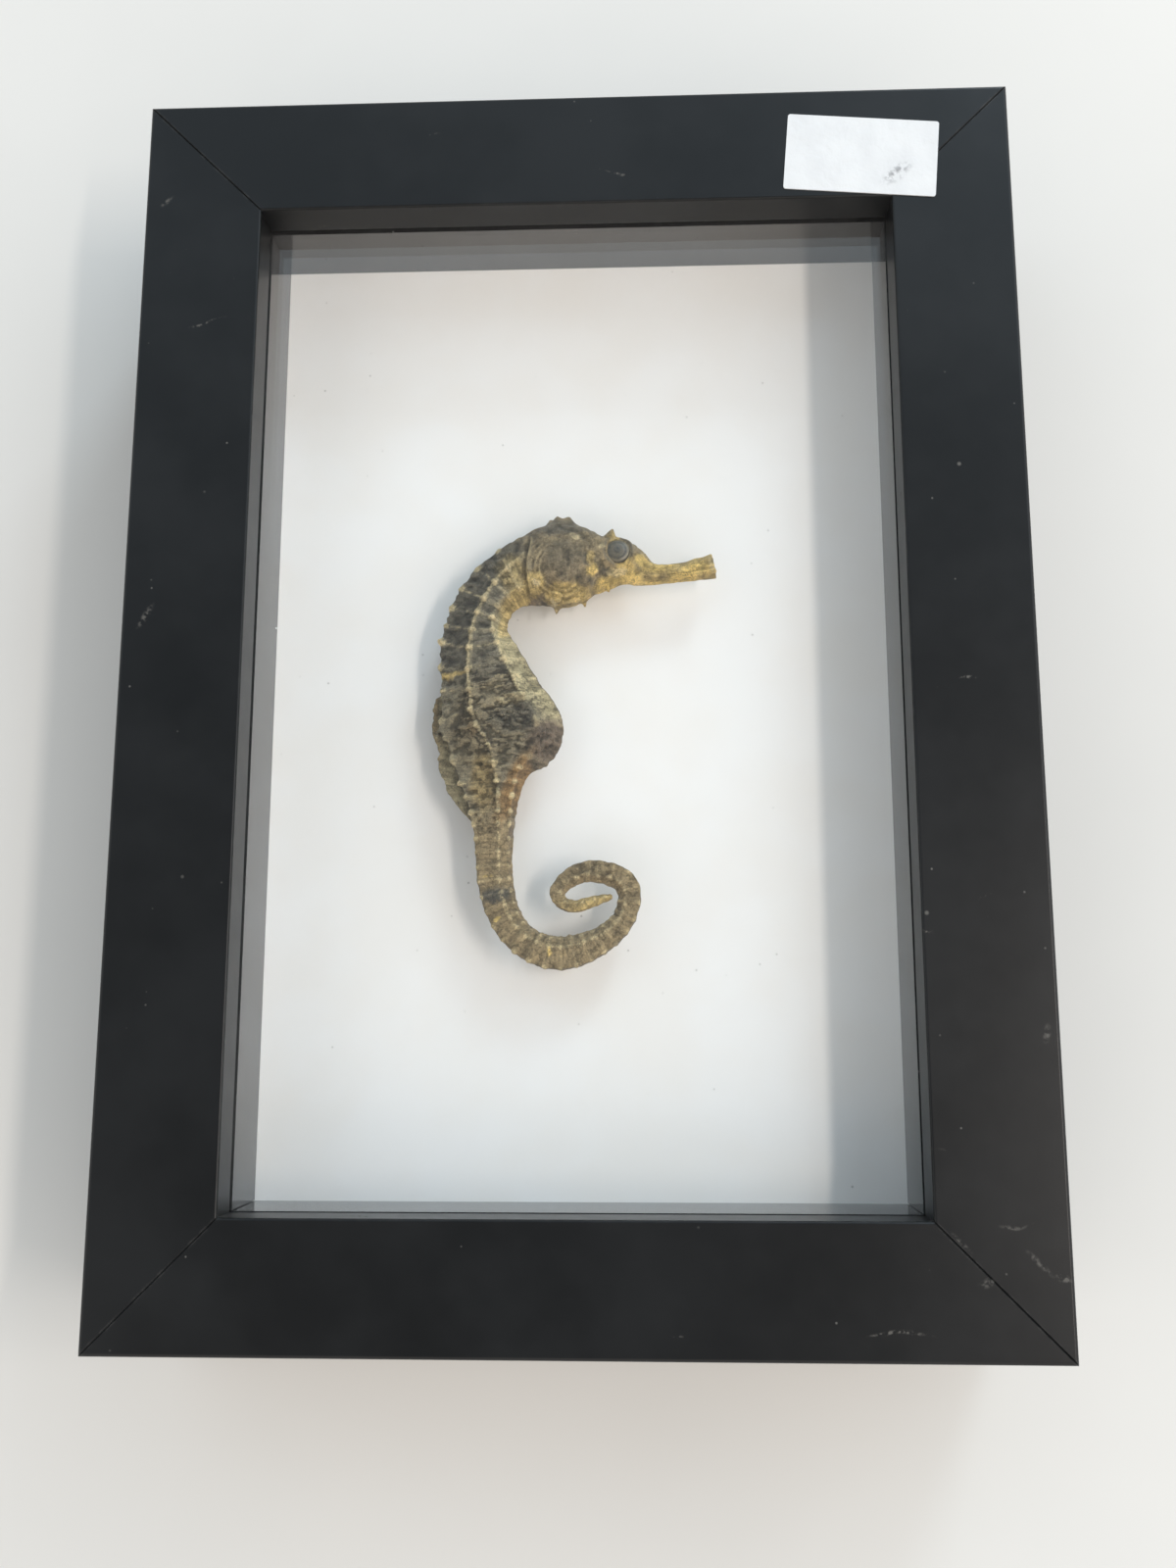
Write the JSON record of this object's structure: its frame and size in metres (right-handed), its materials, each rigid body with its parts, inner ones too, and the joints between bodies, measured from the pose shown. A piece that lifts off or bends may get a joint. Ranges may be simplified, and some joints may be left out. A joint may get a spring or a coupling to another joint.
{
  "type": "specimen display frame",
  "caption": "Deep black mitred shadow-box frame with a dried seahorse on a white card behind recessed glass, closed at the rear by a panel under turn buttons.",
  "frame": {"origin": "centre of the rear face, on the surface that the frame lies on", "axes": "+Z out of the glass, +Y to the top of the picture, +X to the right"},
  "size_m": [0.127, 0.1778, 0.0382],
  "materials": {
    "black_lacquer": "satin black lacquer on wood",
    "spacer_black": "satin black",
    "nail_steel": "bare steel",
    "clear_glass": "polished",
    "white_card": "matte",
    "filler_card": "matte",
    "brown_board": "matte hardboard",
    "zinc_steel": "zinc plated",
    "seahorse_skin": "matte dried skin",
    "clear_glue": "satin",
    "label_paper": "matte"
  },
  "bodies": {
    "frame": {"top_rail": "black_lacquer", "bottom_rail": "black_lacquer", "left_stile": "black_lacquer", "right_stile": "black_lacquer", "spacer_top": "spacer_black", "spacer_bottom": "spacer_black", "spacer_left": "spacer_black", "spacer_right": "spacer_black", "corner_v_nails": "nail_steel", "glass_pane": "clear_glass", "display_card": "white_card", "filler_board": "filler_card", "back_panel": "brown_board", "turn_button_screws": "zinc_steel", "sawtooth_hanger": "zinc_steel", "hanger_rivets": "zinc_steel", "seahorse": "seahorse_skin", "glue_dabs": "clear_glue", "price_label": "label_paper"},
    "turn_button_upper_right": {"turn_button_upper_right": "zinc_steel"},
    "turn_button_upper_left": {"turn_button_upper_left": "zinc_steel"},
    "turn_button_lower_left": {"turn_button_lower_left": "zinc_steel"},
    "turn_button_lower_right": {"turn_button_lower_right": "zinc_steel"}
  },
  "joints": [
    {"name": "turn_button_upper_right_swivel", "type": "hinge", "parent": "frame", "child": "turn_button_upper_right", "pos_m": [0.05485, 0.0429, 0.00535], "axis": [0, 0, 1], "range_deg": [-90, 90]},
    {"name": "turn_button_upper_left_swivel", "type": "hinge", "parent": "frame", "child": "turn_button_upper_left", "pos_m": [-0.05485, 0.0429, 0.00535], "axis": [0, 0, 1], "range_deg": [-90, 90]},
    {"name": "turn_button_lower_left_swivel", "type": "hinge", "parent": "frame", "child": "turn_button_lower_left", "pos_m": [-0.05485, -0.0429, 0.00535], "axis": [0, 0, 1], "range_deg": [-90, 90]},
    {"name": "turn_button_lower_right_swivel", "type": "hinge", "parent": "frame", "child": "turn_button_lower_right", "pos_m": [0.05485, -0.0429, 0.00535], "axis": [0, 0, 1], "range_deg": [-90, 90]}
  ]
}
